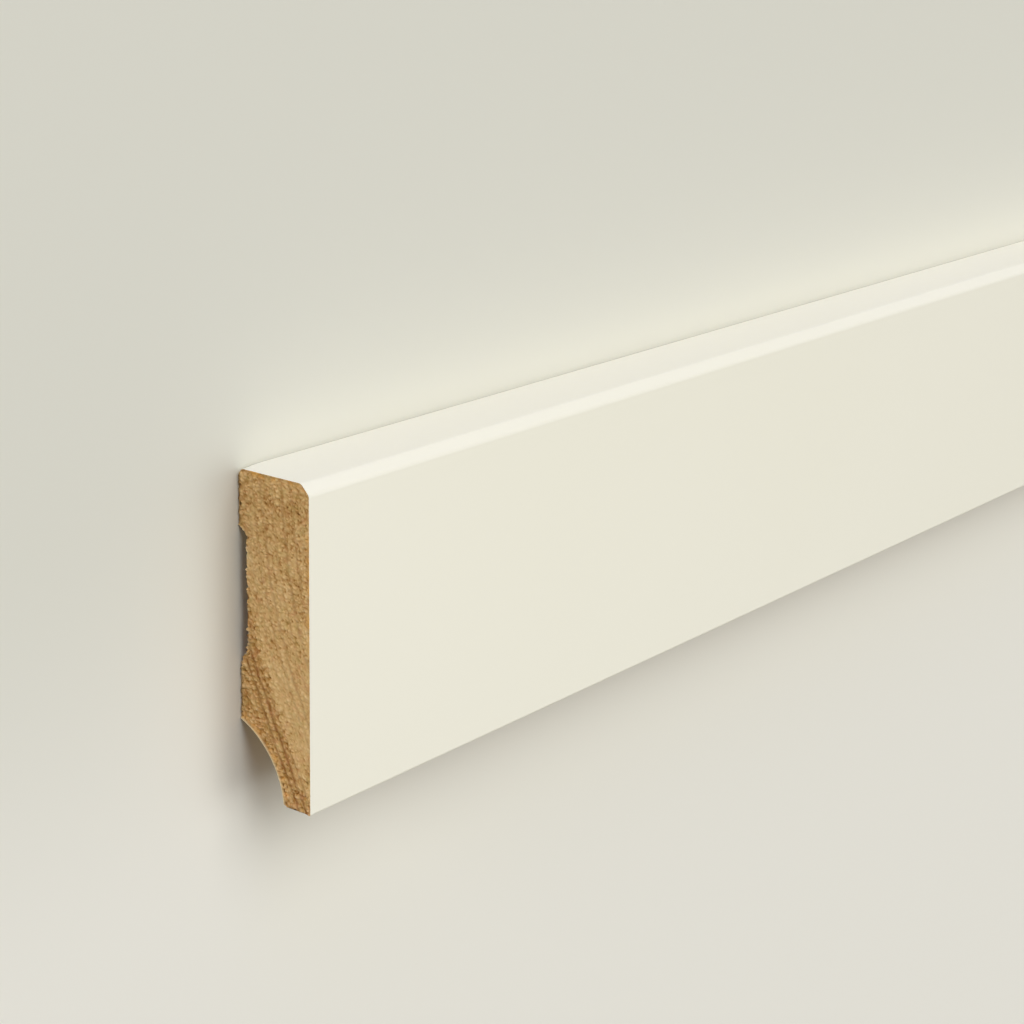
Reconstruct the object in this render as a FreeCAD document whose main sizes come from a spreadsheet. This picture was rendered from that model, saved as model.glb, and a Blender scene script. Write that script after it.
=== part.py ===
import FreeCAD, Part
import math
import os

import Sketcher

# Skirting board length, moulded from one lath of softwood and lacquered in front and on top.
# It lies on its back: X runs along the board, Y from its foot to its top edge and Z from its
# back to its lacquered face. The origin is on the plane of the back, halfway along and up.

# Driving dimensions in millimetres, each set by itself
sizes = {
    # the lath
    "board_length": 2400,
    "board_height": 58,
    "board_thickness": 16,
    # the nose, which is the bevelled front edge along the top
    "nose_bevel": 1.75,
    "nose_softening": 1.2,
    "top_back_round": 0.8,
    # the front arris at the foot
    "face_arris_round": 0.3,
    # the relief, a hollow along the back that lets its two lands bed on an uneven wall
    "upper_land": 9.7,
    "lower_land": 9.3,
    "relief_depth": 1.8,
    "relief_upper_slope": 1.7,
    "relief_lower_slope": 3.9,
    # the cable cove behind the foot
    "cove_height": 13.6,
    "cove_radius": 16,
    "foot_width": 6.1,
    "foot_bevel": 0.5,
}

doc = FreeCAD.newDocument("SkirtingBoard")

sheet = doc.addObject("Spreadsheet::Sheet", "Sizes")
for row, (alias, value) in enumerate(sizes.items(), start=1):
    sheet.set(f"A{row}", alias.replace("_", " "))
    sheet.set(f"B{row}", str(value))
    sheet.setAlias(f"B{row}", alias)
doc.recompute()

body = doc.addObject("PartDesign::Body", "SkirtingBoardBody")
body.Label = "skirting_board"
body.Placement = FreeCAD.Placement()
section_plane = next(f for f in body.Origin.OriginFeatures if f.Role == "YZ_Plane")

# How constraints count a line's ends, and the sketch's own horizontal axis and origin
START, END = 1, 2
SKETCH_AXIS = -1
ORIGIN = (-1, START)

height = sizes["board_height"]
thickness = sizes["board_thickness"]
cove_depth = thickness - sizes["foot_width"]


def point(y, z):
    """A point of the section: y above the foot, z in front of the back."""
    return FreeCAD.Vector(y - height / 2, z, 0)


def section_sketch(name):
    """An empty sketch across the board, at the middle of its length."""
    sketch = body.newObject("Sketcher::SketchObject", name)
    sketch.AttachmentSupport = [(section_plane, "")]
    sketch.MapMode = "FlatFace"
    return sketch


def draw_outline(sketch, *corners):
    """Draws straight lines from corner to corner and closes them."""
    lines = [
        sketch.addGeometry(Part.LineSegment(here, there))
        for here, there in zip(corners, corners[1:] + corners[:1])
    ]
    for this_line, next_line in zip(lines, lines[1:] + lines[:1]):
        constrain(sketch, "Coincident", this_line, END, next_line, START)
    return lines


def draw_back_line(sketch):
    """The back from foot to top edge, a construction line that cuts are measured from."""
    back = sketch.addGeometry(Part.LineSegment(point(0, 0), point(height, 0)), True)
    constrain(sketch, "Horizontal", back)
    constrain(sketch, "Symmetric", back, START, back, END, *ORIGIN)
    dimension(sketch, "height", "Sizes.board_height", "DistanceX", back, START, back, END)
    return back


def constrain(sketch, kind, *where):
    return sketch.addConstraint(Sketcher.Constraint(kind, *where))


def dimension(sketch, name, expression, kind, *where):
    """A named dimension that follows the sheet."""
    index = constrain(sketch, kind, *where, sketch.evalExpression(expression))
    sketch.renameConstraint(index, name)
    sketch.setExpression(f".Constraints.{name}", expression)


def along_board(kind, name, sketch):
    """A pad or pocket that runs the whole board, half its length to each side of the sketch."""
    feature = body.newObject(kind, name)
    feature.Profile = sketch
    feature.SideType = "Symmetric"
    feature.setExpression("Length", "Sizes.board_length")
    doc.recompute()
    return feature


def make_blank():
    """The planed lath, still square."""
    sketch = section_sketch("BlankSection")
    back, top, face, foot = draw_outline(
        sketch, point(0, 0), point(height, 0), point(height, thickness), point(0, thickness)
    )
    constrain(sketch, "Horizontal", back)
    constrain(sketch, "Horizontal", face)
    constrain(sketch, "Vertical", top)
    constrain(sketch, "Vertical", foot)
    constrain(sketch, "Symmetric", back, START, back, END, *ORIGIN)
    dimension(sketch, "height", "Sizes.board_height", "DistanceX", back, START, back, END)
    dimension(sketch, "thickness", "Sizes.board_thickness", "DistanceY", top, START, top, END)
    return along_board("PartDesign::Pad", "Blank", sketch)


def cut_relief():
    """The shallow hollow between the lands, with a short shoulder above and a long one below."""
    low = sizes["cove_height"] + sizes["lower_land"]
    high = height - sizes["upper_land"]
    depth = sizes["relief_depth"]
    floor_low = low + sizes["relief_lower_slope"]
    floor_high = high - sizes["relief_upper_slope"]

    sketch = section_sketch("ReliefSection")
    back = draw_back_line(sketch)
    mouth, upper, floor, lower = draw_outline(
        sketch, point(low, 0), point(high, 0), point(floor_high, depth), point(floor_low, depth)
    )
    constrain(sketch, "PointOnObject", mouth, START, SKETCH_AXIS)
    constrain(sketch, "PointOnObject", mouth, END, SKETCH_AXIS)
    constrain(sketch, "Horizontal", floor)
    dimension(
        sketch, "lower_edge", "Sizes.cove_height + Sizes.lower_land",
        "DistanceX", back, START, mouth, START,
    )
    dimension(sketch, "upper_edge", "Sizes.upper_land", "DistanceX", mouth, END, back, END)
    dimension(sketch, "depth", "Sizes.relief_depth", "DistanceY", upper, START, upper, END)
    dimension(
        sketch, "upper_slope", "Sizes.relief_upper_slope", "DistanceX", upper, END, upper, START
    )
    dimension(
        sketch, "lower_slope", "Sizes.relief_lower_slope", "DistanceX", lower, END, lower, START
    )
    return along_board("PartDesign::Pocket", "Relief", sketch)


def cut_cove():
    """The corner behind the foot, scooped out along an arc whose centre is off the board."""
    radius = sizes["cove_radius"]
    corner = point(0, 0)
    on_back = point(sizes["cove_height"], 0)
    on_foot = point(0, cove_depth)
    half_chord = (on_foot - on_back).Length / 2
    square_to_chord = FreeCAD.Vector(-cove_depth, -sizes["cove_height"], 0).normalize()
    to_centre = square_to_chord * math.sqrt(radius**2 - half_chord**2)
    centre = (on_back + on_foot) / 2 + to_centre
    circle = Part.Circle(centre, FreeCAD.Vector(0, 0, 1), radius)

    sketch = section_sketch("CoveSection")
    back = draw_back_line(sketch)
    up_back = sketch.addGeometry(Part.LineSegment(corner, on_back))
    scoop = sketch.addGeometry(
        Part.ArcOfCircle(circle, circle.parameter(on_back), circle.parameter(on_foot))
    )
    down_foot = sketch.addGeometry(Part.LineSegment(on_foot, corner))
    constrain(sketch, "Coincident", back, START, up_back, START)
    constrain(sketch, "Coincident", up_back, END, scoop, START)
    constrain(sketch, "Coincident", scoop, END, down_foot, START)
    constrain(sketch, "Coincident", down_foot, END, up_back, START)
    constrain(sketch, "Horizontal", up_back)
    constrain(sketch, "Vertical", down_foot)
    dimension(sketch, "cove_height", "Sizes.cove_height", "DistanceX", up_back, START, up_back, END)
    dimension(
        sketch, "cove_depth", "Sizes.board_thickness - Sizes.foot_width",
        "DistanceY", down_foot, END, down_foot, START,
    )
    dimension(sketch, "cove_radius", "Sizes.cove_radius", "Radius", scoop)
    return along_board("PartDesign::Pocket", "Cove", sketch)


def edge_along(feature, place):
    """Name of the feature's edge that runs the board at this place of the section."""
    for number, edge in enumerate(feature.Shape.Edges, start=1):
        misses = [math.hypot(v.Y - place.x, v.Z - place.y) for v in edge.Vertexes]
        if len(misses) == 2 and max(misses) < 1e-4:
            return f"Edge{number}"
    raise RuntimeError(f"{feature.Label} has no edge along the board at {place}")


def work_edges(kind, name, base, measure, alias, *places):
    """Bevels or rounds the long edges of the base feature that run at these places."""
    feature = body.newObject(kind, name)
    feature.Base = (base, [edge_along(base, place) for place in places])
    feature.setExpression(measure, f"Sizes.{alias}")
    doc.recompute()
    return feature


blank = make_blank()
relief = cut_relief()
cove = cut_cove()

# The nose is bevelled, then both its corners are eased
nose = work_edges(
    "PartDesign::Chamfer", "Nose", cove, "Size", "nose_bevel", point(height, thickness)
)
eased_nose = work_edges(
    "PartDesign::Fillet", "EasedNose", nose, "Radius", "nose_softening",
    point(height - sizes["nose_bevel"], thickness), point(height, thickness - sizes["nose_bevel"]),
)

# The other worked edges: the top's back corner, then the foot's front arris and inner corner
top_back = work_edges(
    "PartDesign::Fillet", "TopBack", eased_nose, "Radius", "top_back_round", point(height, 0)
)
face_arris = work_edges(
    "PartDesign::Fillet", "FaceArris", top_back, "Radius", "face_arris_round",
    point(0, thickness),
)
foot_corner = work_edges(
    "PartDesign::Chamfer", "FootCorner", face_arris, "Size", "foot_bevel", point(0, cove_depth)
)
body.Tip = foot_corner
doc.recompute()

# Checks before anything is written: no failed object, no loose sketch, no cut that missed
for item in doc.Objects:
    if "Invalid" in item.State or "Error" in item.State:
        raise RuntimeError(f"{item.Label} failed: {item.State}")
    if item.TypeId == "Sketcher::SketchObject" and not item.FullyConstrained:
        raise RuntimeError(f"{item.Label} isn't fully constrained")

steps = [blank, relief, cove, nose, eased_nose, top_back, face_arris, foot_corner]
for before, after in zip(steps, steps[1:]):
    taken = before.Shape.Volume - after.Shape.Volume
    if taken <= 0:
        raise RuntimeError(f"{after.Label} takes nothing away")
    print(f"{after.Label} takes {taken / sizes['board_length']:.3f} mm2 off the section")

board = body.Shape
if board.isNull() or not board.isValid() or len(board.Solids) != 1:
    raise RuntimeError("The board isn't one sound solid")

os.makedirs("parts", exist_ok=True)
board.exportStep(os.path.join("parts", f"{body.Label}.step"))
box = board.BoundBox
print(f"{body.Label}: {box.XLength:.2f} x {box.YLength:.2f} x {box.ZLength:.2f} mm")
print(f"section {board.Volume / sizes['board_length']:.1f} mm2, volume {board.Volume / 1000:.1f} cm3")
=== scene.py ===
import math

import bpy
import numpy as np
from mathutils import Matrix, Vector, noise


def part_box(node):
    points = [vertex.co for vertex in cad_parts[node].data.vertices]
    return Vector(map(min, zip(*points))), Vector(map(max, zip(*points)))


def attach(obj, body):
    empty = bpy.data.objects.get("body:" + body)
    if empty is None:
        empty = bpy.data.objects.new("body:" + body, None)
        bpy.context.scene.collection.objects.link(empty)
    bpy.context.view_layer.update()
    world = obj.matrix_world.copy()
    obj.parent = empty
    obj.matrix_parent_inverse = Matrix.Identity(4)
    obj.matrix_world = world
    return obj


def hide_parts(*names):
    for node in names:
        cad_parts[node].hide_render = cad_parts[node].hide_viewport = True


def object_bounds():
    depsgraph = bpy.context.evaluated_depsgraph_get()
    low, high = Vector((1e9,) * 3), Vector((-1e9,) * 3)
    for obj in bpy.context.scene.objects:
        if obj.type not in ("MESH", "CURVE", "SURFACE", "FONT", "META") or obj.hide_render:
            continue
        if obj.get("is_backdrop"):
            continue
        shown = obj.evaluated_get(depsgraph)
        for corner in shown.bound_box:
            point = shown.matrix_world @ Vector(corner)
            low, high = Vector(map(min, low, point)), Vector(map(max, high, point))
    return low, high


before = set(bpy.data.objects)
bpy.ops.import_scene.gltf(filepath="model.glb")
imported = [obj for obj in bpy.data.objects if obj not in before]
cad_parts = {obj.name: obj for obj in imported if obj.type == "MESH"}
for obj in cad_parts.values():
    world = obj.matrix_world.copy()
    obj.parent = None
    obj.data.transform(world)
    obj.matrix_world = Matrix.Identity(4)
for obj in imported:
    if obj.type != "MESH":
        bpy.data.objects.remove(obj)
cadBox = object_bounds()
print("frame loaded")

mm = 0.001


def srgb(red, green, blue):
    # a colour as it looks, from 0 to 255, as the light it sends back
    def linear(value):
        value /= 255
        return value / 12.92 if value < 0.04045 else ((value + 0.055) / 1.055) ** 2.4

    return linear(red), linear(green), linear(blue), 1.0


# The board lies on its back: X along it, Y from the foot to the top edge, Z from the back to the
# lacquered face. All of its sizes here are in millimetres; "up" is counted from the foot, "out"
# from the back and "inward" from the nearer sawn end.
boxLow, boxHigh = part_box("skirting_board")
board = {
    "length": (boxHigh.x - boxLow.x) / mm,
    "height": (boxHigh.y - boxLow.y) / mm,
    "thickness": (boxHigh.z - boxLow.z) / mm,
    # worked edges in front
    "noseBevel": 1.75,
    "noseSoftening": 1.2,
    "faceArrisRound": 0.3,
    # the back, from the top edge down
    "topBackRound": 0.8,
    "upperLand": 9.7,
    "reliefUpperSlope": 1.7,
    "reliefDepth": 1.8,
    "reliefLowerSlope": 3.9,
    "lowerLand": 9.3,
    "coveHeight": 13.6,
    "coveRadius": 16.0,
    "footWidth": 6.1,
    "footBevel": 0.5,
    # the top's back corner where its sawn end is rubbed: how deep, how far down, how far inward
    "wornDeep": 1.6,
    "wornDown": 1.9,
    "wornAlong": 2.6,
}
height = board["height"]
thickness = board["thickness"]
halfLength = board["length"] / 2

# The two sawn ends, near at -X and far at +X: where their noise is read, how far out the rings
# have moved by there, and how much of the rubbed corner and of the torn tufts they show
nearEnd = -1
farEnd = 1
sawnEnds = {
    nearEnd: {"seed": 3.0, "drift": 0.0, "rubbed": 1.0, "tufts": 1.0},
    farEnd: {"seed": 61.0, "drift": 3.0, "rubbed": 0.35, "tufts": 0.4},
}

# Where the edges of the section change, counted up from the foot
landTop = board["coveHeight"] + board["lowerLand"]
floorLow = landTop + board["reliefLowerSlope"]
floorHigh = height - board["upperLand"] - board["reliefUpperSlope"]
reliefTop = height - board["upperLand"]
roundLow = height - board["topBackRound"]
softened = board["noseSoftening"]
turn = softened * math.sin(math.pi / 4)
tangent = softened * math.tan(math.pi / 8)
noseLow = height - board["noseBevel"] - tangent
noseHigh = height - softened + turn
noseOut = thickness - board["noseBevel"] - tangent
noseSum = thickness + height - board["noseBevel"]  # up and out add up to this on the bevel
coveDepth = thickness - board["footWidth"]

# The cove's arc passes through its two edges; its centre is off the board
chord = math.hypot(board["coveHeight"], coveDepth)
offChord = math.sqrt(board["coveRadius"] ** 2 - chord**2 / 4)
coveUp = board["coveHeight"] / 2 - offChord * coveDepth / chord
coveOut = coveDepth / 2 - offChord * board["coveHeight"] / chord


def coveAt(up):
    return coveOut + math.sqrt(board["coveRadius"] ** 2 - (up - coveUp) ** 2)


def backAt(up, worn=0.0):
    # how far out the back of the section stands; worn is 1 at a sawn end whose corner is rubbed
    if up < board["footBevel"]:
        share = up / board["footBevel"]
        return (1 - share) * (coveDepth + board["footBevel"]) + share * coveAt(board["footBevel"])
    if up < board["coveHeight"]:
        return max(coveAt(up), 0)
    if up < landTop:
        return 0
    if up < floorLow:
        return board["reliefDepth"] * (up - landTop) / board["reliefLowerSlope"]
    if up < floorHigh:
        return board["reliefDepth"]
    if up < reliefTop:
        return board["reliefDepth"] * (reliefTop - up) / board["reliefUpperSlope"]
    deep = board["topBackRound"] * (1 - worn) + board["wornDeep"] * worn
    down = board["topBackRound"] * (1 - worn) + board["wornDown"] * worn
    if up < height - down:
        return 0
    share = (up - height + down) / down
    return deep * (1 - math.sqrt(max(1 - share**2, 0)))


def frontAt(up):
    # how far out the front of the section stands
    radius = board["faceArrisRound"]
    if up < radius:
        return thickness - radius + math.sqrt(max(radius**2 - (radius - up) ** 2, 0))
    if up < noseLow:
        return thickness
    if up < noseLow + turn:
        return thickness - softened + math.sqrt(softened**2 - (up - noseLow) ** 2)
    if up < noseHigh:
        return noseSum - up
    return noseOut + math.sqrt(max(softened**2 - (up - height + softened) ** 2, 0))


def fromLacquer(up, out):
    # distance to the lacquered edge: the top, the nose or the face
    return min(height - up, (noseSum - up - out) / math.sqrt(2), thickness - out)


def fromCove(up, out):
    return math.hypot(up - coveUp, out - coveOut) - board["coveRadius"]


def rising(zone, value):
    # 0 before the zone, 1 past it and smooth in between
    start, end = zone
    share = min(max((value - start) / (end - start), 0), 1)
    return share * share * (3 - 2 * share)


def falling(zone, value):
    return 1 - rising(zone, value)


def close(distance, reach):
    # 1 at the very place, and next to nothing at twice the reach
    return math.exp(-((distance / reach) ** 2))


def trailing(distance, reach):
    # 1 at the start, with a long tail
    return math.exp(-distance / reach)


def rubbing(inward, side):
    # how much of the rubbed corner shows here
    return sawnEnds[side]["rubbed"] * close(inward, board["wornAlong"])


# Each kind of noise is read in a layer of its own, counted from the seed of the sawn end
layers = {
    "crumb": 0.0,
    "tornEdge": 0.0,
    "lateWood": 0.5,
    "warp": 3.5,
    "swell": 7.5,
    "slit": 13.5,
    "pit": 17.5,
    "ragged": 21.0,
    "raggedFine": 25.0,
    "streak": 27.5,
    "nick": 31.0,
    "paleEdge": 41.0,
    "amber": 51.0,
}


def layer(kind, side):
    return sawnEnds[side]["seed"] + layers[kind]


# The wood: its growth rings stand upright in the top half and lean out towards the foot
wood = {
    # lean of the rings, in millimetres out for each millimetre down: at the top, at the foot, and
    # how far up and how softly the one turns into the other
    "leanHigh": 0.05,
    "leanLow": 0.52,
    "leanAt": 34.0,
    "leanSoft": 8.0,
    # a ring is named by how far out it stands at this height, and is this much longer than high
    "nameAt": 15.0,
    "ringLength": 1.1,
    # late wood seen on the end: ring, half width and strength
    "rings": (
        (1.4, 0.40, 0.25),
        (3.3, 0.40, 0.30),
        (4.7, 0.30, 0.30),
        (5.95, 0.40, 0.95),
        (7.65, 0.40, 1.10),
        (9.1, 0.30, 0.50),
        (12.6, 0.34, 0.20),
        (13.6, 0.28, 0.16),
        (14.5, 0.36, 0.36),
        (16.3, 0.40, 0.44),
        (17.5, 0.34, 0.20),
        (18.7, 0.34, 0.26),
        (20.9, 0.42, 0.46),
        (23.1, 0.38, 0.40),
        (25.0, 0.40, 0.28),
    ),
    # how it strays from its ring, broadly and finely, and how its strength comes and goes: by how
    # much, over what length, and how unlike the next ring
    "strayBroad": (0.28, 3.2, 3.7),
    "strayFine": (0.14, 0.7, 5.1),
    "strength": 0.95,
    "strengthChange": (0.7, 1.2, 7.3),
    # how far from its ring it still counts, in half widths
    "reach": 2.5,
}


def bend(up):
    # how far the lean has carried a ring by this height
    fall = (wood["leanAt"] - up) / wood["leanSoft"]
    turned = (wood["leanLow"] - wood["leanHigh"]) * wood["leanSoft"]
    return wood["leanHigh"] * up - turned * math.log1p(math.exp(fall))


def ringPlace(up, out, side):
    # the ring at this place, and the distance along it
    ring = out + bend(up) - bend(wood["nameAt"]) + sawnEnds[side]["drift"]
    return ring, up * wood["ringLength"]


def ringLine(ring, along, side):
    # strength of the late wood here, straying and fading in and out along each ring
    def change(number, kind):
        amount, length, unlike = wood[kind]
        place = Vector((number * unlike, along / length, layer("lateWood", side)))
        return amount * noise.noise(place)

    line = 0
    for number, (place, halfWidth, strength) in enumerate(wood["rings"]):
        stray = change(number, "strayBroad") + change(number, "strayFine")
        away = (ring - place - stray) / halfWidth
        if abs(away) < wood["reach"]:
            fade = wood["strength"] + change(number, "strengthChange")
            line = max(line, strength * fade * close(away, 1))
    return line


# The sawn end: relief and shade that the saw leaves in it
saw = {
    # crumbs, swells, pits and slits: how large and how deep, where in their noise they start and
    # end, how much wider than high the crumbs and the slits are, and how much the slits bend
    "crumb": 0.66,
    "crumbDepth": 0.22,
    "crumbEdge": (0.0, 0.55),
    "crumbWide": 1.08,
    "swell": 0.88,
    "swellDepth": 0.12,
    "pit": 0.44,
    "pitDepth": 0.15,
    "pitEdge": (0.24, 0.48),
    "slit": 0.60,
    "slitDepth": 0.20,
    "slitEdge": (0.22, 0.48),
    "slitLong": 1.8,
    "slitBend": 0.3,
    "slitWhereRough": (0.6, 1.4),
    # the rows of crumbs are pushed about: how far, and over what size
    "warp": 0.35,
    "warpSize": 1.6,
    # dense late wood is cut cleaner than the rest, and lies a little deeper
    "lateCutsClean": 0.55,
    "ringGroove": 0.05,
    # fine streaks along the rings: how wide, how many times longer, how deep, how dark, and how
    # much of them is lost in torn wood
    "streak": 0.52,
    "streakLong": 12.0,
    "streakDepth": 0.02,
    "streakShade": 0.10,
    "streakLost": 0.5,
    # behind this ring the wood is darker and torn: how much further out that edge is higher up,
    # how far it wanders, over what length, and how soft it is
    "tornRing": 9.5,
    "tornHigher": 0.6,
    "tornHigherZone": (17, 24),
    "tornWander": 1.5,
    "tornWanderSize": 1.5,
    "tornSoft": 0.9,
    # how rough the saw leaves the wood: everywhere, less in the lower half, more where it is torn,
    # more along the upper face, and more at the foot, torn or sound
    "rough": 0.85,
    "roughLow": -0.12,
    "lowZone": (22, 34),
    "roughTorn": 0.65,
    "roughByFace": 0.12,
    "byFaceOut": (9, 13),
    "byFaceFrom": (32, 38),
    "byFaceTo": (50, 55),
    "roughFootTorn": 0.20,
    "roughFootSound": 0.60,
    "footZone": (3, 9),
    # how dark the wood is, and how much each of these darkens it; below 0 is paler; the creases,
    # swells, pits and slits add painted shade where they lie deeper
    "shade": 0.29,
    "creasePaintedShade": 0.27,
    "swellPaintedShade": 0.20,
    "pitPaintedShade": 0.27,
    "slitPaintedShade": 0.32,
    "tornShade": -0.06,
    "footShade": -0.18,
    "paleFootZone": (2, 8),
}

# Turns the noise's lattice askew, so that no rows or columns show
askew = Matrix.Rotation(math.radians(52), 3, Vector((2, 3, 1)))


def cloud(across, along, size, place):
    # soft noise of about this grain
    return noise.noise(askew @ Vector((across / size, along / size, place)))


def crumbAt(across, along, side):
    # crumbs lying side by side: 1 on the crown of one, 0 in the crease between two
    place = Vector((across / saw["crumb"], along / saw["crumb"], layer("crumb", side)))
    nearest, _ = noise.voronoi(askew @ place)
    return rising(saw["crumbEdge"], nearest[1] - nearest[0])


def ripple(up, size, place):
    # noise that changes only with the height
    return noise.noise(Vector((up / size, 0.5, place)))


def tearing(up, out, ring, side):
    # whether the wood is torn here, and how rough the saw has left it
    edge = saw["tornRing"] + saw["tornHigher"] * rising(saw["tornHigherZone"], up)
    edge += saw["tornWander"] * ripple(up, saw["tornWanderSize"], layer("tornEdge", side))
    torn = falling((edge - saw["tornSoft"], edge + saw["tornSoft"]), ring)
    byFace = rising(saw["byFaceOut"], out) * rising(saw["byFaceFrom"], up)
    byFace *= falling(saw["byFaceTo"], up)
    atFoot = saw["roughFootTorn"] * torn + saw["roughFootSound"] * (1 - torn)
    rough = saw["rough"] + saw["roughLow"] * falling(saw["lowZone"], up)
    rough += saw["roughTorn"] * torn + saw["roughByFace"] * byFace
    return torn, rough + atFoot * falling(saw["footZone"], up)


def sawnRelief(up, out, side):
    # how far the sawn end stands back here, and how dark, ringed and torn the wood is; the
    # darkness is the wood's own tone with painted shade in the relief's hollows
    ring, along = ringPlace(up, out, side)
    torn, rough = tearing(up, out, ring, side)
    line = ringLine(ring, along, side)
    rough *= 1 - saw["lateCutsClean"] * min(line, 1)
    across = ring / saw["crumbWide"]
    warp = saw["warp"] * cloud(across, up, saw["warpSize"], layer("warp", side))
    crease = 1 - crumbAt(across + warp, up - warp, side)
    swell = cloud(across, up, saw["swell"], layer("swell", side))
    pit = rising(saw["pitEdge"], cloud(across, up, saw["pit"], layer("pit", side)))
    bent = up + saw["slitBend"] * swell
    slit = cloud(across / saw["slitLong"], bent, saw["slit"], layer("slit", side))
    slit = rising(saw["slitEdge"], slit) * rising(saw["slitWhereRough"], rough)
    streak = cloud(ring, along / saw["streakLong"], saw["streak"], layer("streak", side))

    depth = rough * (saw["crumbDepth"] * crease + saw["swellDepth"] * swell)
    depth += rough * saw["pitDepth"] * pit + saw["slitDepth"] * slit
    depth += saw["ringGroove"] * line + saw["streakDepth"] * streak

    # painted shade: creases, swells, pits and slits darken the wood where the relief lies deeper
    dark = saw["creasePaintedShade"] * crease + saw["swellPaintedShade"] * swell + saw["pitPaintedShade"] * pit
    dark = saw["shade"] + rough * dark + saw["slitPaintedShade"] * slit
    dark += saw["streakShade"] * (1 - saw["streakLost"] * torn) * streak
    dark += saw["tornShade"] * torn + saw["footShade"] * falling(saw["paleFootZone"], up)
    return depth, dark, line, torn


# The edges of the sawn ends
edges = {
    # ragged along the back: how far on the cove, the relief and the lands, how far below and above
    # the relief that goes on, and how far inward it lasts, down to what share
    "raggedCove": 0.02,
    "raggedRelief": 0.36,
    "raggedLand": 0.08,
    "raggedBelow": 0.4,
    "raggedAbove": 0.2,
    "raggedAlong": 1.6,
    "raggedLasting": 0.15,
    # its two noises: how large up the board and inward, and how strong
    "ragged": (0.62, 5.0, 1.0),
    "raggedFine": (0.26, 3.0, 0.5),
    # how far the lands are eased, how far inward, and over what height above the cove that comes
    "easedLand": 0.10,
    "easedAlong": 0.7,
    "easedAbove": (0.0, 1.0),
    # torn tufts on the relief's long shoulder: how far up, how wide, how far they stand off
    "tufts": ((26.7, 0.28, 0.55), (24.9, 0.45, 0.40), (23.5, 0.30, 0.15), (39.4, 0.25, 0.26)),
    "tuftAlong": 0.9,
    # how far out from the back a ragged edge still pulls at the points of the end
    "pull": 0.8,
    # the saw's relief dies out this near to the lacquer and the cove, where small nicks take over
    "plain": (0.0, 0.5),
    "nick": 0.05,
    "nickSize": 0.5,
    # amber tint in patches: along the upper face, along the top and by the cove
    "amberSize": 1.5,
    "amberPatch": (-0.25, 0.30),
    "amberFace": 0.7,
    "amberFaceFrom": (24, 28),
    "amberFaceTo": (50, 53),
    "amberTopFrom": (56.4, 57.4),
    "amberWide": 0.8,
    "amberCove": 0.45,
    "amberCoveAt": 0.7,
    "amberCoveWide": 0.5,
    # pale arris along the cove, and in patches along the relief
    "paleCoveWide": 0.2,
    "paleRelief": 0.8,
    "paleReliefWide": 0.3,
    "paleSize": 0.8,
    "palePatch": (0.0, 0.35),
    # painted contact shadow, dark along the back edge of the lands where they lie on the floor:
    # how wide, and where it comes and goes
    "contactShadowWide": 0.34,
    "contactShadowAboveCove": (0.0, 0.8),
    "contactShadowBelowTop": (0.0, 1.5),
    # how softly the one turns into the other where the relief meets a land
    "reliefSoft": (-0.3, 0.3),
}


def raggedNoise(up, inward, kind, side):
    sizeUp, sizeInward, strength = edges[kind]
    return strength * noise.noise(Vector((up / sizeUp, inward / sizeInward, layer(kind, side))))


def raggedEdge(up, inward, side):
    # how far the back's edge is torn, eased or stands proud near a sawn end
    eased = 0
    if up < board["coveHeight"]:
        amount = edges["raggedCove"]
    elif landTop - edges["raggedBelow"] < up < reliefTop + edges["raggedAbove"]:
        amount = edges["raggedRelief"]
    else:
        amount = edges["raggedLand"]
        eased = edges["easedLand"] * rising(edges["easedAbove"], up - board["coveHeight"])
    if up > height - board["wornDown"]:
        amount *= (height - up) / board["wornDown"]
        eased *= (height - up) / board["wornDown"]
    lasting = edges["raggedLasting"]
    amount *= lasting + (1 - lasting) * trailing(inward, edges["raggedAlong"])
    torn = raggedNoise(up, inward, "ragged", side) + raggedNoise(up, inward, "raggedFine", side)
    tuft = sum(stand * close(up - at, wide) for at, wide, stand in edges["tufts"])
    tuft *= sawnEnds[side]["tufts"] * trailing(inward, edges["tuftAlong"])
    return amount * torn + eased * trailing(inward, edges["easedAlong"]) - tuft


def amber(up, out, side):
    # where the sawn end is tinted amber
    size = edges["amberSize"]
    patchy = noise.noise(Vector((up / size, out / size, layer("amber", side))))
    onFace = edges["amberFace"] * rising(edges["amberFaceFrom"], up)
    onFace *= falling(edges["amberFaceTo"], up)
    onTop = rising(edges["amberTopFrom"], up)
    byCoat = max(onFace, onTop) * close(fromLacquer(up, out), edges["amberWide"])
    byCove = close(fromCove(up, out) - edges["amberCoveAt"], edges["amberCoveWide"])
    return rising(edges["amberPatch"], patchy) * max(byCoat, edges["amberCove"] * byCove)


def nicked(up, out, side):
    # depth of the small nicks where the saw's relief has died out
    size = edges["nickSize"]
    depth = noise.noise(Vector((up / size, out / size, layer("nick", side))))
    return edges["nick"] * max(0, depth)


def backEdge(up, side):
    # how pale the back's edge is at this height of a sawn end, and how much painted contact shadow
    # darkens it
    soft = edges["reliefSoft"]
    inRelief = rising(soft, up - landTop) * rising(soft, reliefTop - up)
    patchy = ripple(up, edges["paleSize"], layer("paleEdge", side))
    pale = edges["paleRelief"] * inRelief * rising(edges["palePatch"], patchy)
    contactShadow = (1 - inRelief) * rising(edges["contactShadowAboveCove"], up - board["coveHeight"])
    return pale, contactShadow * rising(edges["contactShadowBelowTop"], height - up)


# The mesh: rows up the section and columns from its back to its front over both sawn ends, then
# rings of points along the board, fine near its ends
grid = {
    "cell": 0.165,
    "columns": 97,
    "roundTurn": 10,  # degrees between two rows over a round
    "inwards": (0.25, 0.6, 1.2, 2.0, 3.0, 4.4, 7, 12, 40, 400),
    "crispAngle": 50,  # degrees at which an edge stays crisp
}


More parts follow.
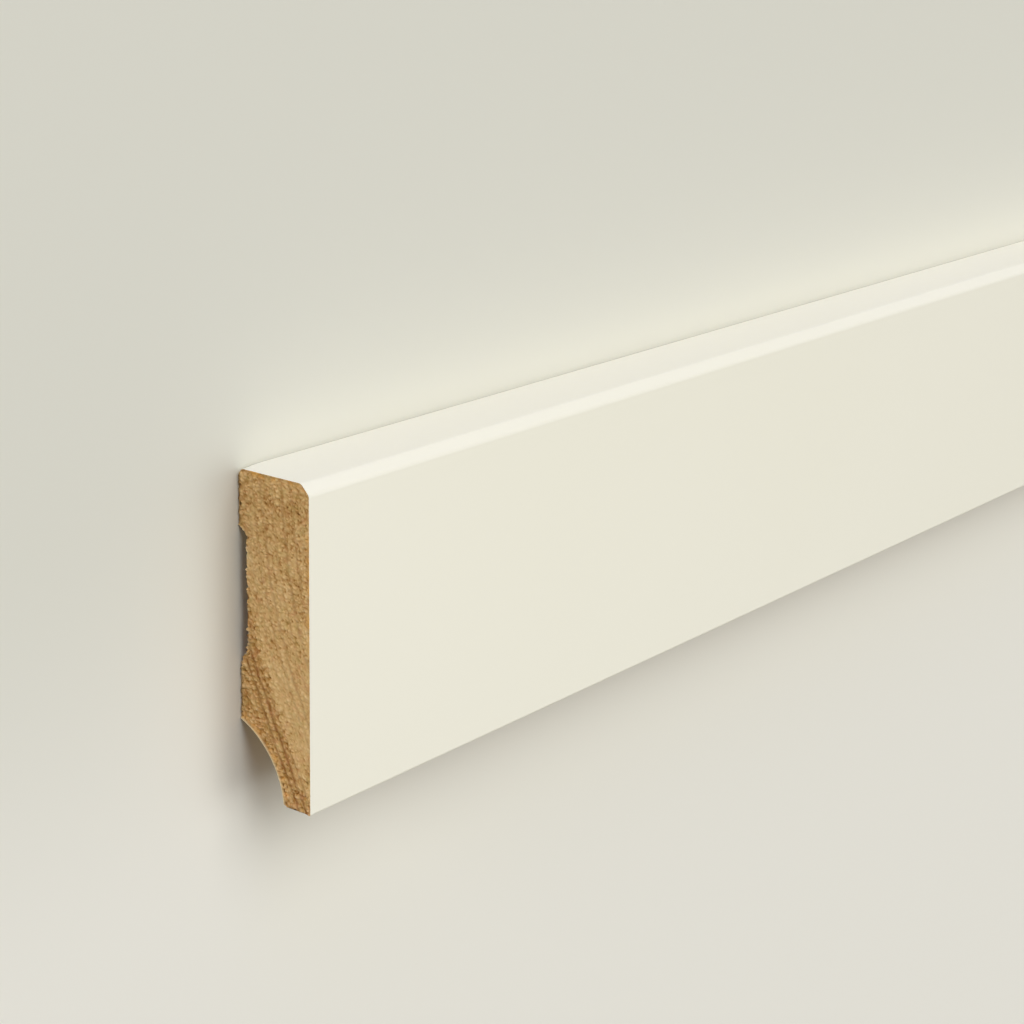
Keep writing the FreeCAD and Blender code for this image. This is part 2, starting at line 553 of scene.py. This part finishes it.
def rowHeights():
    # every change of the section gets a row, and rounds get rows at equal turns
    marks = {0, board["footBevel"], board["coveHeight"], landTop, floorLow, floorHigh}
    marks |= {reliefTop, roundLow, noseLow, noseLow + turn, noseHigh, height}
    for step in range(1, 90 // grid["roundTurn"]):
        angle = math.radians(grid["roundTurn"] * step)
        marks.add(board["faceArrisRound"] * (1 - math.cos(angle)))
        marks.add(height - board["wornDown"] * (1 - math.sin(angle)))
    marks = sorted(marks)
    heights = []
    for here, there in zip(marks, marks[1:]):
        count = max(1, math.ceil((there - here) / grid["cell"]))
        heights += [here + (there - here) * part / count for part in range(count)]
    return heights + [height]


rows = rowHeights()
lastRow = len(rows) - 1
lastColumn = grid["columns"] - 1
shares = [column / lastColumn for column in range(grid["columns"])]

# The outline of the section, counted round: foot, front, top, back
outline = [(0, column) for column in range(lastColumn)]
outline += [(row, lastColumn) for row in range(lastRow)]
outline += [(lastRow, column) for column in range(lastColumn, 0, -1)]
outline += [(row, 0) for row in range(lastRow, 0, -1)]
frontStart = lastColumn
backStart = frontStart + lastRow + lastColumn

stations = [(nearEnd, inward) for inward in grid["inwards"]]
stations += [(farEnd, inward) for inward in reversed(grid["inwards"])]

# The board's finishes, in the order in which it gets its materials
lacqueredFinish = 0
sawnFinish = 1
planedFinish = 2


def endVertex(side, row, column):
    start = 0 if side == nearEnd else len(rows) * len(shares)
    return start + row * len(shares) + column


def sawnRow(up, side):
    # one row of points over a sawn end, from the back to the front: where each one stands, and
    # its grain with painted shade in the relief's hollows, late wood, torn wood, amber, pale rim
    # and painted contact shadow
    back = backAt(up, rubbing(0, side))
    front = frontAt(up)
    ragged = max(raggedEdge(up, 0, side), -back)
    paleEdge, shadowedEdge = backEdge(up, side)
    for share in shares:
        out = back + (front - back) * share
        depth, shade, late, torn = sawnRelief(up, out, side)
        toCove = fromCove(up, out)
        hold = rising(edges["plain"], fromLacquer(up, out)) * rising(edges["plain"], toCove)
        inward = depth * hold + nicked(up, out, side) * (1 - hold)
        pull = trailing(out - back, edges["pull"]) * (1 - share)
        rim = paleEdge * close(out - back, edges["paleReliefWide"])
        rim = max(rim, close(toCove, edges["paleCoveWide"]))
        # painted contact shadow along the lands' back edge
        contactShadow = shadowedEdge * close(out - back, edges["contactShadowWide"])
        look = (shade, late, torn, amber(up, out, side), rim, contactShadow)
        yield (inward, up, out + ragged * pull), look


def sidePoint(side, inward, row, column):
    # a point of the outline, this far inward from a sawn end
    up = rows[row]
    back = backAt(up, rubbing(inward, side))
    out = back + (frontAt(up) - back) * shares[column]
    ragged = max(raggedEdge(up, inward, side), -back)
    if column == 0:
        out += ragged
    elif row in (0, lastRow):
        out += ragged * trailing(out - back, edges["pull"])
    return inward, up, out


def boardPoints():
    # every point, what the materials read from it, and the rings of points along the board
    verts = []
    looks = {name: [] for name in ("grainAndHollowShade", "lateWood", "torn", "amber", "rim", "contactShadow")}

    def add(side, point, look=(0.5, 0, 0, 0, 0, 0)):
        inward, up, out = point
        verts.append((side * (halfLength - inward) * mm, (up - height / 2) * mm, out * mm))
        for kept, value in zip(looks.values(), look):
            kept.append(value)

    for side in sawnEnds:
        for up in rows:
            for point, look in sawnRow(up, side):
                add(side, point, look)
    rings = [[endVertex(nearEnd, row, column) for row, column in outline]]
    for side, inward in stations:
        start = len(verts)
        for row, column in outline:
            add(side, sidePoint(side, inward, row, column))
        rings.append(list(range(start, start + len(outline))))
    rings.append([endVertex(farEnd, row, column) for row, column in outline])
    return verts, looks, rings


# The one map for the whole board, in the dots of its picture: the sawn ends large and side by
# side, then the long sides as one strip
sheet = {
    "dots": 1024,
    "dotsPerMm": 14,
    "margin": 4,
    "gap": 10,
    "rightMargin": 6,
}


def endMap(side, row, column):
    up = rows[row]
    back = backAt(up)
    out = back + (frontAt(up) - back) * shares[column]
    endWide = thickness * sheet["dotsPerMm"] + sheet["gap"]
    left = sheet["margin"] + (0 if side == nearEnd else endWide)
    across = left + out * sheet["dotsPerMm"]
    return across / sheet["dots"], (sheet["margin"] + up * sheet["dotsPerMm"]) / sheet["dots"]


def stripMap(along, around):
    # along the board and round its outline, both as shares
    endWide = thickness * sheet["dotsPerMm"] + sheet["gap"]
    left = sheet["margin"] + 2 * endWide
    across = left + (sheet["dots"] - left - sheet["rightMargin"]) * around
    upward = sheet["margin"] + (sheet["dots"] - 2 * sheet["margin"]) * along
    return across / sheet["dots"], upward / sheet["dots"]


def sawnFaces():
    # the faces over both sawn ends, and their corners' places in the map
    faces = []
    maps = []
    for side in sawnEnds:
        for row in range(lastRow):
            for column in range(lastColumn):
                corners = [(row, column), (row, column + 1)]
                corners += [(row + 1, column + 1), (row + 1, column)]
                if side == nearEnd:
                    corners.reverse()
                faces.append([endVertex(side, *corner) for corner in corners])
                maps += [endMap(side, *corner) for corner in corners]
    return faces, maps


def sideFaces(verts, rings):
    # the faces from ring to ring, the finish of each, and their corners' places in the map
    places = [-halfLength]
    places += [side * (halfLength - inward) for side, inward in stations]
    places.append(halfLength)
    alongs = [(place + halfLength) / (2 * halfLength) for place in places]
    rounds = [0.0]
    for here, there in zip(rings[0], rings[0][1:] + rings[0][:1]):
        step = (Vector(verts[there]) - Vector(verts[here])).yz
        rounds.append(rounds[-1] + step.length / mm)

    faces = []
    finishes = []
    maps = []
    for ring in range(len(rings) - 1):
        for point in range(len(outline)):
            after = (point + 1) % len(outline)
            corners = [(ring, after, point + 1), (ring + 1, after, point + 1)]
            corners += [(ring + 1, point, point), (ring, point, point)]
            faces.append([rings[at][vertex] for at, vertex, _ in corners])
            maps += [stripMap(alongs[at], rounds[step] / rounds[-1]) for at, _, step in corners]
            # lacquer covers the front, the nose and the top, and laps over the top's back corner
            lapped = point >= backStart and rows[outline[point][0]] > roundLow
            lacquered = frontStart <= point < backStart or lapped
            finishes.append(lacqueredFinish if lacquered else planedFinish)
    return faces, finishes, maps


def backArrises(rings):
    # the edges along the back that stay crisp
    crisp = {board["footBevel"], board["coveHeight"], landTop, floorLow, floorHigh, reliefTop}
    arrises = set()
    for point in range(backStart, len(outline)):
        if rows[outline[point][0]] in crisp:
            for here, there in zip(rings, rings[1:]):
                arrises.add(frozenset((here[point], there[point])))
    return arrises


def buildBoard():
    verts, looks, rings = boardPoints()
    faces, maps = sawnFaces()
    finishes = [sawnFinish] * len(faces)
    moreFaces, moreFinishes, moreMaps = sideFaces(verts, rings)
    faces += moreFaces
    finishes += moreFinishes
    maps += moreMaps

    mesh = bpy.data.meshes.new("lacqueredBoard")
    mesh.from_pydata(verts, [], faces)
    mesh.polygons.foreach_set("material_index", finishes)
    mesh.polygons.foreach_set("use_smooth", [True] * len(faces))
    for name, values in looks.items():
        look = mesh.attributes.new(name, "FLOAT", "POINT")
        look.data.foreach_set("value", values)
    flat = mesh.uv_layers.new(name="OFBake")
    flat.uv.foreach_set("vector", np.array(maps, "f").ravel())
    mesh.update()
    mesh.set_sharp_from_angle(angle=math.radians(grid["crispAngle"]))
    arrises = backArrises(rings)
    for edge in mesh.edges:
        if frozenset(edge.vertices) in arrises:
            edge.use_edge_sharp = True
    mesh.validate()
    piece = bpy.data.objects.new("lacqueredBoard", mesh)
    bpy.context.scene.collection.objects.link(piece)
    print("board:", len(verts), "points,", len(faces), "faces")
    return piece


class Tree:
    # short ways to add and join a material's nodes
    def __init__(self, name):
        self.material = bpy.data.materials.new(name)
        self.material.use_nodes = True
        self.tree = self.material.node_tree
        self.shader = self.tree.nodes["Principled BSDF"]

    def node(self, kind, inputs=None, **settings):
        made = self.tree.nodes.new(kind)
        for name, value in settings.items():
            setattr(made, name, value)
        for name, value in (inputs or {}).items():
            self.feed(value, made.inputs[name])
        return made

    def feed(self, value, socket):
        if isinstance(value, bpy.types.NodeSocket):
            self.tree.links.new(value, socket)
        else:
            socket.default_value = value

    def finish(self, name, value):
        self.feed(value, self.shader.inputs[name])

    def math(self, operation, *values):
        made = self.node("ShaderNodeMath", operation=operation)
        for value, socket in zip(values, made.inputs):
            self.feed(value, socket)
        return made.outputs[0]

    def vary(self, base, pattern, amount):
        # base, raised and lowered by a noise whose middle is a half
        return self.math("MULTIPLY_ADD", self.math("SUBTRACT", pattern, 0.5), amount, base)

    def between(self, value, start, end, first=0.0, last=1.0):
        # first up to the start, last past the end, and smooth in between
        made = self.node("ShaderNodeMapRange", interpolation_type="SMOOTHSTEP")
        for setting, socket in zip((value, start, end, first, last), made.inputs):
            self.feed(setting, socket)
        return made.outputs[0]

    def mix(self, share, first, second):
        made = self.node("ShaderNodeMix", data_type="RGBA")
        self.feed(share, made.inputs["Factor"])
        self.feed(first, made.inputs[6])
        self.feed(second, made.inputs[7])
        return made.outputs[2]

    def tint(self, colour, look, amount, other):
        # the other colour, where the look has it and as strongly as the amount says
        return self.mix(self.math("MULTIPLY", look, amount), colour, other)

    def noise(self, where, size, detail=2.0, rough=0.5, stretch=(1, 1, 1)):
        # size is in millimetres, as is where; the lattice is turned so that it doesn't show
        scaled = self.node("ShaderNodeVectorMath", operation="MULTIPLY")
        self.feed(where, scaled.inputs[0])
        scaled.inputs[1].default_value = tuple(1 / (size * way) for way in stretch)
        turned = self.node("ShaderNodeVectorRotate", rotation_type="EULER_XYZ")
        turned.inputs["Rotation"].default_value = (0.7, 0.5, 0.9)
        self.feed(scaled.outputs[0], turned.inputs["Vector"])
        settings = {"Scale": 1.0, "Detail": detail, "Roughness": rough}
        made = self.node("ShaderNodeTexNoise", settings)
        self.feed(turned.outputs[0], made.inputs["Vector"])
        return made.outputs[0]

    def attribute(self, name):
        return self.node("ShaderNodeAttribute", attribute_name=name).outputs["Fac"]

    def places(self):
        # the board's own millimetres, as one vector and as X, up and out
        coordinate = self.node("ShaderNodeTexCoord").outputs["Object"]
        scaled = self.node("ShaderNodeVectorMath", operation="MULTIPLY_ADD")
        self.feed(coordinate, scaled.inputs[0])
        scaled.inputs[1].default_value = (1 / mm,) * 3
        scaled.inputs[2].default_value = (halfLength, height / 2, 0)
        parts = self.node("ShaderNodeSeparateXYZ", {"Vector": scaled.outputs[0]})
        return scaled.outputs[0], parts.outputs[0], parts.outputs[1], parts.outputs[2]

    def bump(self, lift, strength, distance):
        # distance is in millimetres
        settings = {"Height": lift, "Strength": strength, "Distance": distance * mm}
        self.finish("Normal", self.node("ShaderNodeBump", settings).outputs[0])


# The sawn end grain. A noise is given by its size in millimetres and by how many times longer it
# is along the board, up it and out from its back.
endGrain = {
    # the wood from light to dark: how dark, and its colour
    "ramp": (
        (0.05, srgb(238, 207, 154)),
        (0.48, srgb(216, 177, 118)),
        (0.76, srgb(178, 132, 73)),
        (1.0, srgb(120, 80, 36)),
    ),
    # noises that lighten and darken it, and how much
    "specks": {"size": 0.50, "stretch": (6, 1.2, 1.2)},
    "specksShade": 0.50,
    "fine": {"size": 0.26, "stretch": (6, 1.2, 1.1)},
    "fineShade": 0.15,
    "clouds": {"size": 4.0, "stretch": (20, 1.2, 1)},
    "cloudsShade": 0.42,
    # darker towards the top: from where to where up the board, and how much
    "topShade": (42, 54, 0.0, 0.08),
    # how strongly these tell, and their colour
    "torn": (0.24, srgb(190, 136, 60)),
    "lateWood": (0.88, srgb(144, 96, 42)),
    "amber": (0.8, srgb(236, 176, 90)),
    "rim": (0.85, srgb(222, 208, 170)),
    # painted contact shadow along the lands' back edge, where they meet the floor
    "contactShadow": (0.8, srgb(104, 88, 60)),
    # patches that lean to red and to olive, where their noise goes from one value to another
    "patches": {"size": 1.3, "detail": 3.0, "rough": 0.6, "stretch": (9, 1, 1.2)},
    "patchShare": 0.34,
    "reddishPatch": (0.50, 0.72),
    "reddish": srgb(206, 144, 98),
    "olivePatch": (0.50, 0.28),
    "olive": srgb(194, 172, 106),
    # from which shade to which the gloss changes, and from which roughness to which
    "roughness": (0.2, 0.9, 0.72, 0.92),
    "specular": 0.25,
    # bumps finer than the mesh, in millimetres
    "specksLift": 0.6,
    "fineLift": 0.5,
    "bump": -0.05,
    "bumpStrength": 0.8,
}


def sawnEndGrain():
    tree = Tree("sawnEndGrain")
    where, _, up, _ = tree.places()
    specks = tree.noise(where, **endGrain["specks"])
    fine = tree.noise(where, **endGrain["fine"])
    clouds = tree.noise(where, **endGrain["clouds"])
    patches = tree.noise(where, **endGrain["patches"])

    # the wood's own tone, with painted shade in the sawn relief's hollows
    shade = tree.vary(tree.attribute("grainAndHollowShade"), specks, endGrain["specksShade"])
    shade = tree.vary(shade, fine, endGrain["fineShade"])
    shade = tree.vary(shade, clouds, endGrain["cloudsShade"])
    shade = tree.math("ADD", shade, tree.between(up, *endGrain["topShade"]))
    ramp = tree.node("ShaderNodeValToRGB", {"Fac": shade})
    stops = ramp.color_ramp.elements
    for number, (position, colour) in enumerate(endGrain["ramp"]):
        stop = stops[number] if number < len(stops) else stops.new(position)
        stop.position = position
        stop.color = colour
    colour = ramp.outputs["Color"]

    for look in ("torn", "lateWood"):
        colour = tree.tint(colour, tree.attribute(look), *endGrain[look])
    for tone in ("reddish", "olive"):
        share = tree.between(patches, *endGrain[tone + "Patch"], 0.0, endGrain["patchShare"])
        colour = tree.mix(share, colour, endGrain[tone])
    # amber, pale rim and the painted contact shadow along the lands
    for look in ("amber", "rim", "contactShadow"):
        colour = tree.tint(colour, tree.attribute(look), *endGrain[look])
    tree.finish("Base Color", colour)

    tree.finish("Roughness", tree.between(shade, *endGrain["roughness"]))
    tree.finish("Specular IOR Level", endGrain["specular"])
    lift = tree.math("MULTIPLY", specks, endGrain["specksLift"])
    lift = tree.math("MULTIPLY_ADD", fine, endGrain["fineLift"], lift)
    tree.bump(lift, endGrain["bumpStrength"], endGrain["bump"])
    return tree.material


# The planed back, cove and foot, where the rings are drawn out along the board. Its noises are
# stretched along the fibres, across the rings and up along them.
planed = {
    "earlyWood": (srgb(231, 200, 150), srgb(222, 184, 130)),
    "streaks": {"size": 3.0, "stretch": (90, 1, 1)},
    "streaksEdge": (0.3, 0.7),
    # the late wood: how strongly it tells, its colour, how much wider it is than on the end, and
    # how far it wobbles
    "lateWood": (0.8, srgb(190, 138, 82)),
    "wider": 1.8,
    "wobbles": {"size": 30.0, "stretch": (8, 1, 1)},
    "wobble": 0.9,
    "fibres": {"size": 0.5, "detail": 3.0, "rough": 0.6, "stretch": (60, 1, 1)},
    "fibresShade": (0.35, 0.75, 0.0, 0.35),
    "fibresColour": srgb(176, 128, 76),
    # how far the rings sway out and back on their way along the board
    "sway": 1.0,
    "roughness": (0.3, 0.7, 0.55, 0.72),
    "specular": 0.3,
    "bump": 0.06,
    "bumpStrength": 0.6,
}


def ringSpace(tree):
    # the wood's own directions: X along the fibres, the ring, and up along it
    _, along, up, out = tree.places()
    fall = tree.math("DIVIDE", tree.math("SUBTRACT", wood["leanAt"], up), wood["leanSoft"])
    swell = tree.math("ADD", tree.math("EXPONENT", fall), 1.0)
    turned = (wood["leanLow"] - wood["leanHigh"]) * wood["leanSoft"]
    ring = tree.math("MULTIPLY_ADD", tree.math("LOGARITHM", swell, math.e), -turned, out)
    ring = tree.math("MULTIPLY_ADD", up, wood["leanHigh"], ring)
    ring = tree.math("SUBTRACT", ring, bend(wood["nameAt"]))
    drift = sawnEnds[farEnd]["drift"] / board["length"]
    ring = tree.math("MULTIPLY_ADD", along, drift, ring)
    sway = tree.math("SINE", tree.math("MULTIPLY", along, 2 * math.pi / board["length"]))
    ring = tree.math("MULTIPLY_ADD", sway, planed["sway"], ring)
    joined = tree.node("ShaderNodeCombineXYZ", {"X": along, "Y": ring, "Z": up})
    return joined.outputs[0], ring


def lateWood(tree, ring, wobbles):
    # the late wood of every ring as one dark line
    bent = tree.vary(ring, wobbles, planed["wobble"])
    total = None
    for place, halfWidth, strength in wood["rings"]:
        away = tree.math("ABSOLUTE", tree.math("SUBTRACT", bent, place))
        line = tree.between(away, 0.0, halfWidth * planed["wider"], strength, 0.0)
        total = line if total is None else tree.math("MAXIMUM", total, line)
    return total


def planedSoftwood():
    tree = Tree("planedSoftwood")
    where, ring = ringSpace(tree)
    late = lateWood(tree, ring, tree.noise(where, **planed["wobbles"]))
    fibres = tree.noise(where, **planed["fibres"])
    streaks = tree.noise(where, **planed["streaks"])
    colour = tree.mix(tree.between(streaks, *planed["streaksEdge"]), *planed["earlyWood"])
    colour = tree.tint(colour, late, *planed["lateWood"])
    darker = tree.between(fibres, *planed["fibresShade"])
    tree.finish("Base Color", tree.mix(darker, colour, planed["fibresColour"]))
    tree.finish("Roughness", tree.between(fibres, *planed["roughness"]))
    tree.finish("Specular IOR Level", planed["specular"])
    tree.bump(fibres, planed["bumpStrength"], planed["bump"])
    return tree.material


# The coat of lacquer on the face, the nose and the top
lacquer = {
    "cream": (srgb(247, 243, 225), srgb(246, 242, 223)),
    "clouds": {"size": 90.0, "detail": 1.0, "rough": 0.4, "stretch": (1.6, 1, 1)},
    "cloudsEdge": (0.35, 0.65),
    # painted shade over the bevel of the nose, which takes more light than the top and the face,
    # so the
    # coat is a shade darker there: how far before the bevel that starts, how far before it that is
    # full, and how much darker
    "noseShadeStart": 0.8,
    "noseShadeFull": 0.1,
    "nosePaintedShade": 0.045,
    # orange peel and the wood's fibres under the coat, how much the fibres lift it, and the bumps
    # of both in millimetres
    "peel": {"size": 1.6},
    "fibres": {"size": 0.9, "stretch": (70, 1, 1)},
    "fibresLift": 0.5,
    "bump": 0.012,
    "bumpStrength": 0.5,
    "roughness": (0.3, 0.7, 0.36, 0.44),
}


def creamLacquer():
    tree = Tree("creamLacquer")
    where, _, up, out = tree.places()
    clouds = tree.noise(where, **lacquer["clouds"])
    colour = tree.mix(tree.between(clouds, *lacquer["cloudsEdge"]), *lacquer["cream"])
    # painted shade along the nose's bevel, where more light falls
    start = noseSum - lacquer["noseShadeStart"]
    full = noseSum - lacquer["noseShadeFull"]
    paintedNoseShade = tree.between(tree.math("ADD", up, out), start, full, 0.0, lacquer["nosePaintedShade"])
    tree.finish("Base Color", tree.mix(paintedNoseShade, colour, srgb(0, 0, 0)))
    peel = tree.noise(where, **lacquer["peel"])
    fibres = tree.noise(where, **lacquer["fibres"])
    tree.finish("Roughness", tree.between(peel, *lacquer["roughness"]))
    lift = tree.math("MULTIPLY_ADD", fibres, lacquer["fibresLift"], peel)
    tree.bump(lift, lacquer["bumpStrength"], lacquer["bump"])
    return tree.material


skirting = buildBoard()
skirting.data.materials.append(creamLacquer())
skirting.data.materials.append(sawnEndGrain())
skirting.data.materials.append(planedSoftwood())
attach(skirting, "root")
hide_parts("skirting_board")
print("board dressed")

# Floor, lamps and camera, in metres
nearWhite = (1.0, 1.0, 0.98)
skyBlue = (0.05, 0.15, 1.0)
studio = {
    "floorSize": 60.0,
    "floorBelow": 0.05 * mm,
    "floorColour": srgb(228, 226, 214),
    # by the near sawn end the floor has painted light below the foot and painted shade beyond the
    # top, which meet under the board in this zone across it; round this place and over these
    # distances they fade to the plain colour
    "floorPaintedLightBelowFoot": srgb(235, 232, 221),
    "floorPaintedShadeBeyondTop": srgb(221, 219, 206),
    "floorMeet": (-0.05, 0.03),
    "floorToneAt": (-halfLength * mm + 0.13, -0.03, 0.0),
    "floorFade": (0.27, 0.7),
    "floorRoughness": 0.8,
    "floorSpecular": 0.2,
    # the faint light from all round, and what the camera sees beyond the floor
    "glow": (0.082, 0.082, 0.080, 1.0),
    "seen": srgb(217, 215, 204),
    # from where each lamp shines, its strength, how many degrees wide it is, and its colour
    "lamps": {
        "softOverhead": ((0.36, 0.02, 0.92), 0.75, 32, nearWhite),
        "steepSide": ((-0.05, 0.60, 0.80), 1.88, 50, nearWhite),
        "coolSide": ((-0.14, 0.97, 0.12), 0.54, 50, skyBlue),
        "lowEnd": ((-0.885, 0.44, 0.05), 1.47, 22, nearWhite),
        "highFarEnd": ((0.62, -0.12, 0.78), 0.20, 32, nearWhite),
        "footSide": ((0.30, -0.50, 0.81), 0.16, 40, nearWhite),
    },
    # the photographed end, seen from the front and above: lens and film in millimetres, the
    # nearest and furthest that is drawn, where the eye is and which way it looks
    "lens": 83.8,
    "film": 36,
    "nearest": 0.01,
    "furthest": 200,
    "eye": (-1.4724, 0.1371, 0.2667),
    "right": (0.614, 0.0202, 0.7891),
    "down": (-0.2172, -0.9568, 0.1935),
    "forward": (0.7589, -0.2902, -0.583),
}


def floorPaint():
    tree = Tree("paleFloor")
    place = tree.node("ShaderNodeTexCoord").outputs["Object"]
    across = tree.node("ShaderNodeSeparateXYZ", {"Vector": place}).outputs[1]
    # painted light below the board's foot and painted shade beyond its top, by the near end
    beyond = tree.between(across, *studio["floorMeet"])
    paintedLightAndShade = tree.mix(beyond, studio["floorPaintedLightBelowFoot"], studio["floorPaintedShadeBeyondTop"])
    away = tree.node("ShaderNodeVectorMath", operation="DISTANCE")
    tree.feed(place, away.inputs[0])
    away.inputs[1].default_value = studio["floorToneAt"]
    plain = tree.between(away.outputs["Value"], *studio["floorFade"])
    tree.finish("Base Color", tree.mix(plain, paintedLightAndShade, studio["floorColour"]))
    tree.finish("Roughness", studio["floorRoughness"])
    tree.finish("Specular IOR Level", studio["floorSpecular"])
    return tree.material


def layFloor():
    half = studio["floorSize"] / 2
    corners = ((-half, -half), (half, -half), (half, half), (-half, half))
    mesh = bpy.data.meshes.new("paleFloor")
    mesh.from_pydata([(x, y, -studio["floorBelow"]) for x, y in corners], [], [(0, 1, 2, 3)])
    mesh.materials.append(floorPaint())
    floor = bpy.data.objects.new("paleFloor", mesh)
    bpy.context.scene.collection.objects.link(floor)
    floor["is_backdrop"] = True


def addSun(name, fromWhere, strength, angle, colour):
    lamp = bpy.data.lights.new(name, "SUN")
    lamp.energy = strength
    lamp.angle = math.radians(angle)
    lamp.color = colour
    sun = bpy.data.objects.new(name, lamp)
    sun.rotation_mode = "QUATERNION"
    sun.rotation_quaternion = Vector(fromWhere).to_track_quat("Z", "Y")
    sun.location = Vector(fromWhere) * 2
    bpy.context.scene.collection.objects.link(sun)


def lightStudio():
    for name, settings in studio["lamps"].items():
        addSun(name, *settings)
    world = bpy.data.worlds.new("softGlow")
    world.use_nodes = True
    nodes = world.node_tree.nodes
    links = world.node_tree.links
    glow = nodes["Background"]
    glow.inputs["Color"].default_value = studio["glow"]
    seen = nodes.new("ShaderNodeBackground")
    seen.inputs["Color"].default_value = studio["seen"]
    seen.inputs["Strength"].default_value = 1.0
    path = nodes.new("ShaderNodeLightPath")
    choose = nodes.new("ShaderNodeMixShader")
    links.new(path.outputs["Is Camera Ray"], choose.inputs[0])
    links.new(glow.outputs[0], choose.inputs[1])
    links.new(seen.outputs[0], choose.inputs[2])
    links.new(choose.outputs[0], nodes["World Output"].inputs["Surface"])
    bpy.context.scene.world = world


def setCamera():
    lens = bpy.data.cameras.new("eye")
    lens.lens = studio["lens"]
    lens.sensor_width = studio["film"]
    lens.clip_start = studio["nearest"]
    lens.clip_end = studio["furthest"]
    eye = bpy.data.objects.new("eye", lens)
    right = Vector(studio["right"]).normalized()
    down = Vector(studio["down"]).normalized()
    forward = Vector(studio["forward"]).normalized()
    turned = Matrix((right, -down, -forward)).transposed()
    eye.matrix_world = Matrix.Translation(studio["eye"]) @ turned.to_4x4()
    bpy.context.scene.collection.objects.link(eye)
    bpy.context.scene.camera = eye


layFloor()
lightStudio()
setCamera()
bpy.context.scene.view_settings.view_transform = "Standard"
print("studio ready")

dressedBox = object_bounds()
[[list(corner) for corner in box] for box in (cadBox, dressedBox)]
